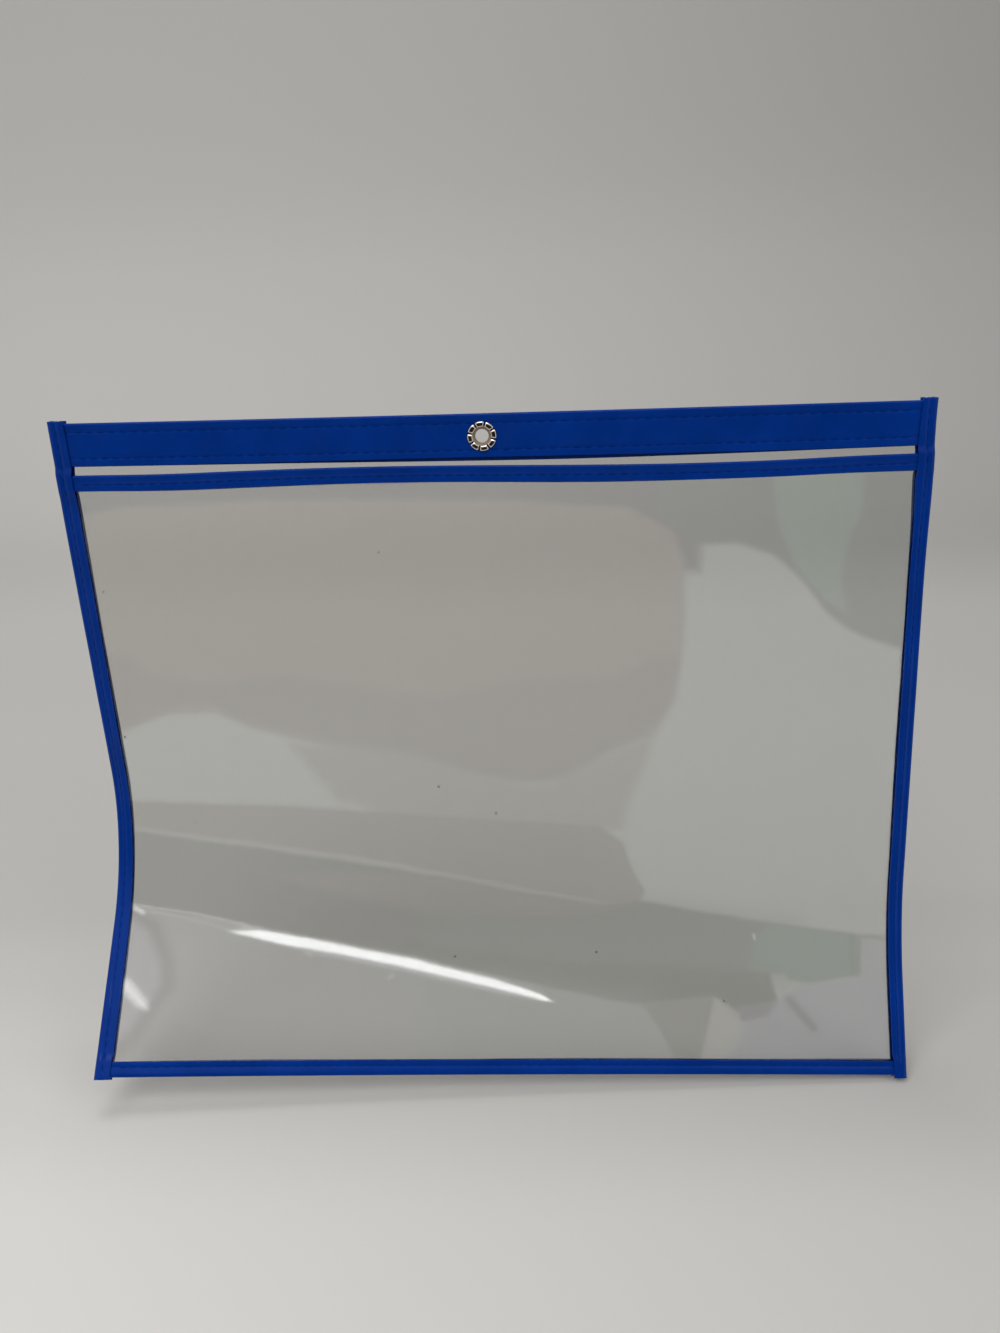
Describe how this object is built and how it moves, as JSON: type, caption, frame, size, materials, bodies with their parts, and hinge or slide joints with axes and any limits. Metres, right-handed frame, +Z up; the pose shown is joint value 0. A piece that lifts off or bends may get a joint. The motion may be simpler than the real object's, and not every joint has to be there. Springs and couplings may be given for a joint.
{
  "type": "clear vinyl document holder",
  "caption": "Clear landscape vinyl pocket with folded blue vinyl bindings, a wide header strip and a metal eyelet to hang it by.",
  "frame": {"origin": "middle of the eyelet, at the middle of the back film's thickness", "axes": "+X across the pocket to the viewer's right, +Z up the hanging header, and the pocket's front faces -Y"},
  "size_m": [0.324, 0.0643, 0.2626],
  "materials": {
    "film": "clear soft vinyl film, glossy",
    "binding": "royal blue vinyl, satin",
    "eyelet_metal": "nickel-plated brass, worn"
  },
  "bodies": {
    "root": {"back_film": "film", "front_film": "film", "header_strip": "binding", "mouth_binding": "binding", "bottom_binding": "binding", "left_binding": "binding", "right_binding": "binding", "eyelet": "eyelet_metal"}
  },
  "joints": []
}
